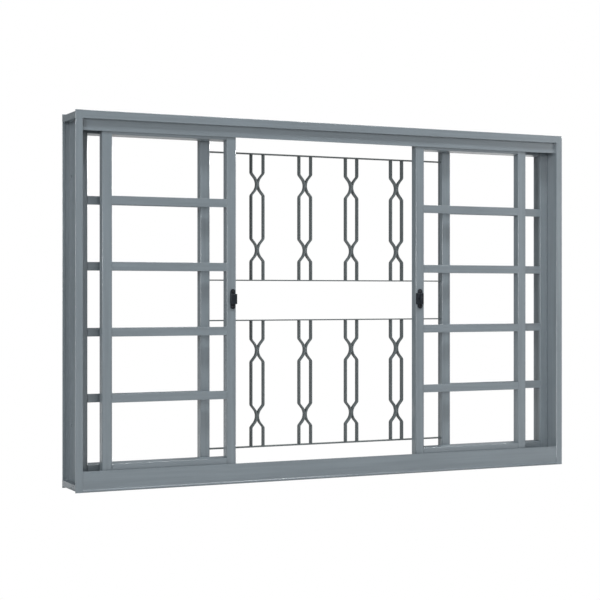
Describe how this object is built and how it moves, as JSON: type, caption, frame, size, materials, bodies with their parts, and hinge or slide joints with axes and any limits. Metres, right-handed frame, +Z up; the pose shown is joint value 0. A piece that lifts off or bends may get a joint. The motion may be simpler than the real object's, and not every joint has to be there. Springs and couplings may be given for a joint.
{
  "type": "sliding window with security grille",
  "caption": "Unglazed sliding steel window in a channel frame, with fixed side sashes, sliding sashes, a latch and a bent-bar security grille across the centre opening.",
  "frame": {"origin": "middle of the width and depth, at the underside of the sill", "axes": "+X to the right seen from the latch side, +Y from that front to the back, +Z up"},
  "size_m": [1.5, 0.12, 0.98],
  "materials": {
    "frame_paint": "satin blue-grey primer",
    "sash_paint": "satin blue-grey primer",
    "grille_paint": "satin dark grey primer",
    "zinc_steel": "zinc plated",
    "black_steel": "black oxide",
    "nylon": "natural nylon",
    "latch_plastic": "black moulded",
    "stop_rubber": "matt"
  },
  "bodies": {
    "root": {"head_channel": "frame_paint", "sill_channel": "frame_paint", "left_jamb": "frame_paint", "right_jamb": "frame_paint", "top_track": "frame_paint", "bottom_track": "frame_paint", "left_jamb_stops": "stop_rubber", "right_jamb_stops": "stop_rubber", "left_fixed_sash_left_stile": "sash_paint", "left_fixed_sash_right_stile": "sash_paint", "left_fixed_sash_top_rail": "sash_paint", "left_fixed_sash_bottom_rail": "sash_paint", "left_fixed_sash_glazing_bars": "sash_paint", "right_fixed_sash_left_stile": "sash_paint", "right_fixed_sash_right_stile": "sash_paint", "right_fixed_sash_top_rail": "sash_paint", "right_fixed_sash_bottom_rail": "sash_paint", "right_fixed_sash_glazing_bars": "sash_paint", "lower_grille_bottom_flat": "grille_paint", "lower_grille_top_flat": "grille_paint", "lower_grille_pair_1": "grille_paint", "lower_grille_pair_2": "grille_paint", "lower_grille_pair_3": "grille_paint", "lower_grille_pair_4": "grille_paint", "upper_grille_bottom_flat": "grille_paint", "upper_grille_top_flat": "grille_paint", "upper_grille_pair_1": "grille_paint", "upper_grille_pair_2": "grille_paint", "upper_grille_pair_3": "grille_paint", "upper_grille_pair_4": "grille_paint"},
    "left_sash": {"left_sash_left_stile": "sash_paint", "left_sash_right_stile": "sash_paint", "left_sash_top_rail": "sash_paint", "left_sash_bottom_rail": "sash_paint", "left_sash_glazing_bars": "sash_paint", "left_sash_roller_axles": "zinc_steel", "left_sash_roller_housings": "nylon", "left_sash_top_guides": "nylon", "keeper": "latch_plastic", "keeper_screws": "black_steel"},
    "right_sash": {"right_sash_left_stile": "sash_paint", "right_sash_right_stile": "sash_paint", "right_sash_top_rail": "sash_paint", "right_sash_bottom_rail": "sash_paint", "right_sash_glazing_bars": "sash_paint", "right_sash_roller_axles": "zinc_steel", "right_sash_roller_housings": "nylon", "right_sash_top_guides": "nylon", "latch_case": "latch_plastic", "latch_screws": "black_steel"},
    "left_sash_left_wheel": {"left_sash_left_wheel": "nylon"},
    "left_sash_right_wheel": {"left_sash_right_wheel": "nylon"},
    "right_sash_left_wheel": {"right_sash_left_wheel": "nylon"},
    "right_sash_right_wheel": {"right_sash_right_wheel": "nylon"},
    "latch_bolt": {"latch_bolt": "latch_plastic"}
  },
  "joints": [
    {"name": "left_sash_slide", "type": "slide", "parent": "root", "child": "left_sash", "axis": [1, 0, 0], "range_m": [-0.0488, 0.3008]},
    {"name": "right_sash_slide", "type": "slide", "parent": "root", "child": "right_sash", "axis": [-1, 0, 0], "range_m": [-0.0951, 0.2545]},
    {"name": "left_sash_left_wheel_spin", "type": "hinge", "parent": "left_sash", "child": "left_sash_left_wheel", "pos_m": [-0.6268, -0.0355, 0.03706], "axis": [0, 1, 0], "continuous": true},
    {"name": "left_sash_right_wheel_spin", "type": "hinge", "parent": "left_sash", "child": "left_sash_right_wheel", "pos_m": [-0.3493, -0.0355, 0.03706], "axis": [0, 1, 0], "continuous": true},
    {"name": "right_sash_left_wheel_spin", "type": "hinge", "parent": "right_sash", "child": "right_sash_left_wheel", "pos_m": [0.303, -0.0355, 0.03706], "axis": [0, -1, 0], "continuous": true},
    {"name": "right_sash_right_wheel_spin", "type": "hinge", "parent": "right_sash", "child": "right_sash_right_wheel", "pos_m": [0.5805, -0.0355, 0.03706], "axis": [0, -1, 0], "continuous": true},
    {"name": "latch_bolt_slide", "type": "slide", "parent": "right_sash", "child": "latch_bolt", "axis": [-1, 0, 0], "range_m": [0, 0.008]}
  ],
  "couplings": [
    {"joint": "left_sash_left_wheel_spin", "follows": "left_sash_slide", "rad_per_m": 105.26},
    {"joint": "left_sash_right_wheel_spin", "follows": "left_sash_slide", "rad_per_m": 105.26},
    {"joint": "right_sash_left_wheel_spin", "follows": "right_sash_slide", "rad_per_m": 105.26},
    {"joint": "right_sash_right_wheel_spin", "follows": "right_sash_slide", "rad_per_m": 105.26}
  ]
}
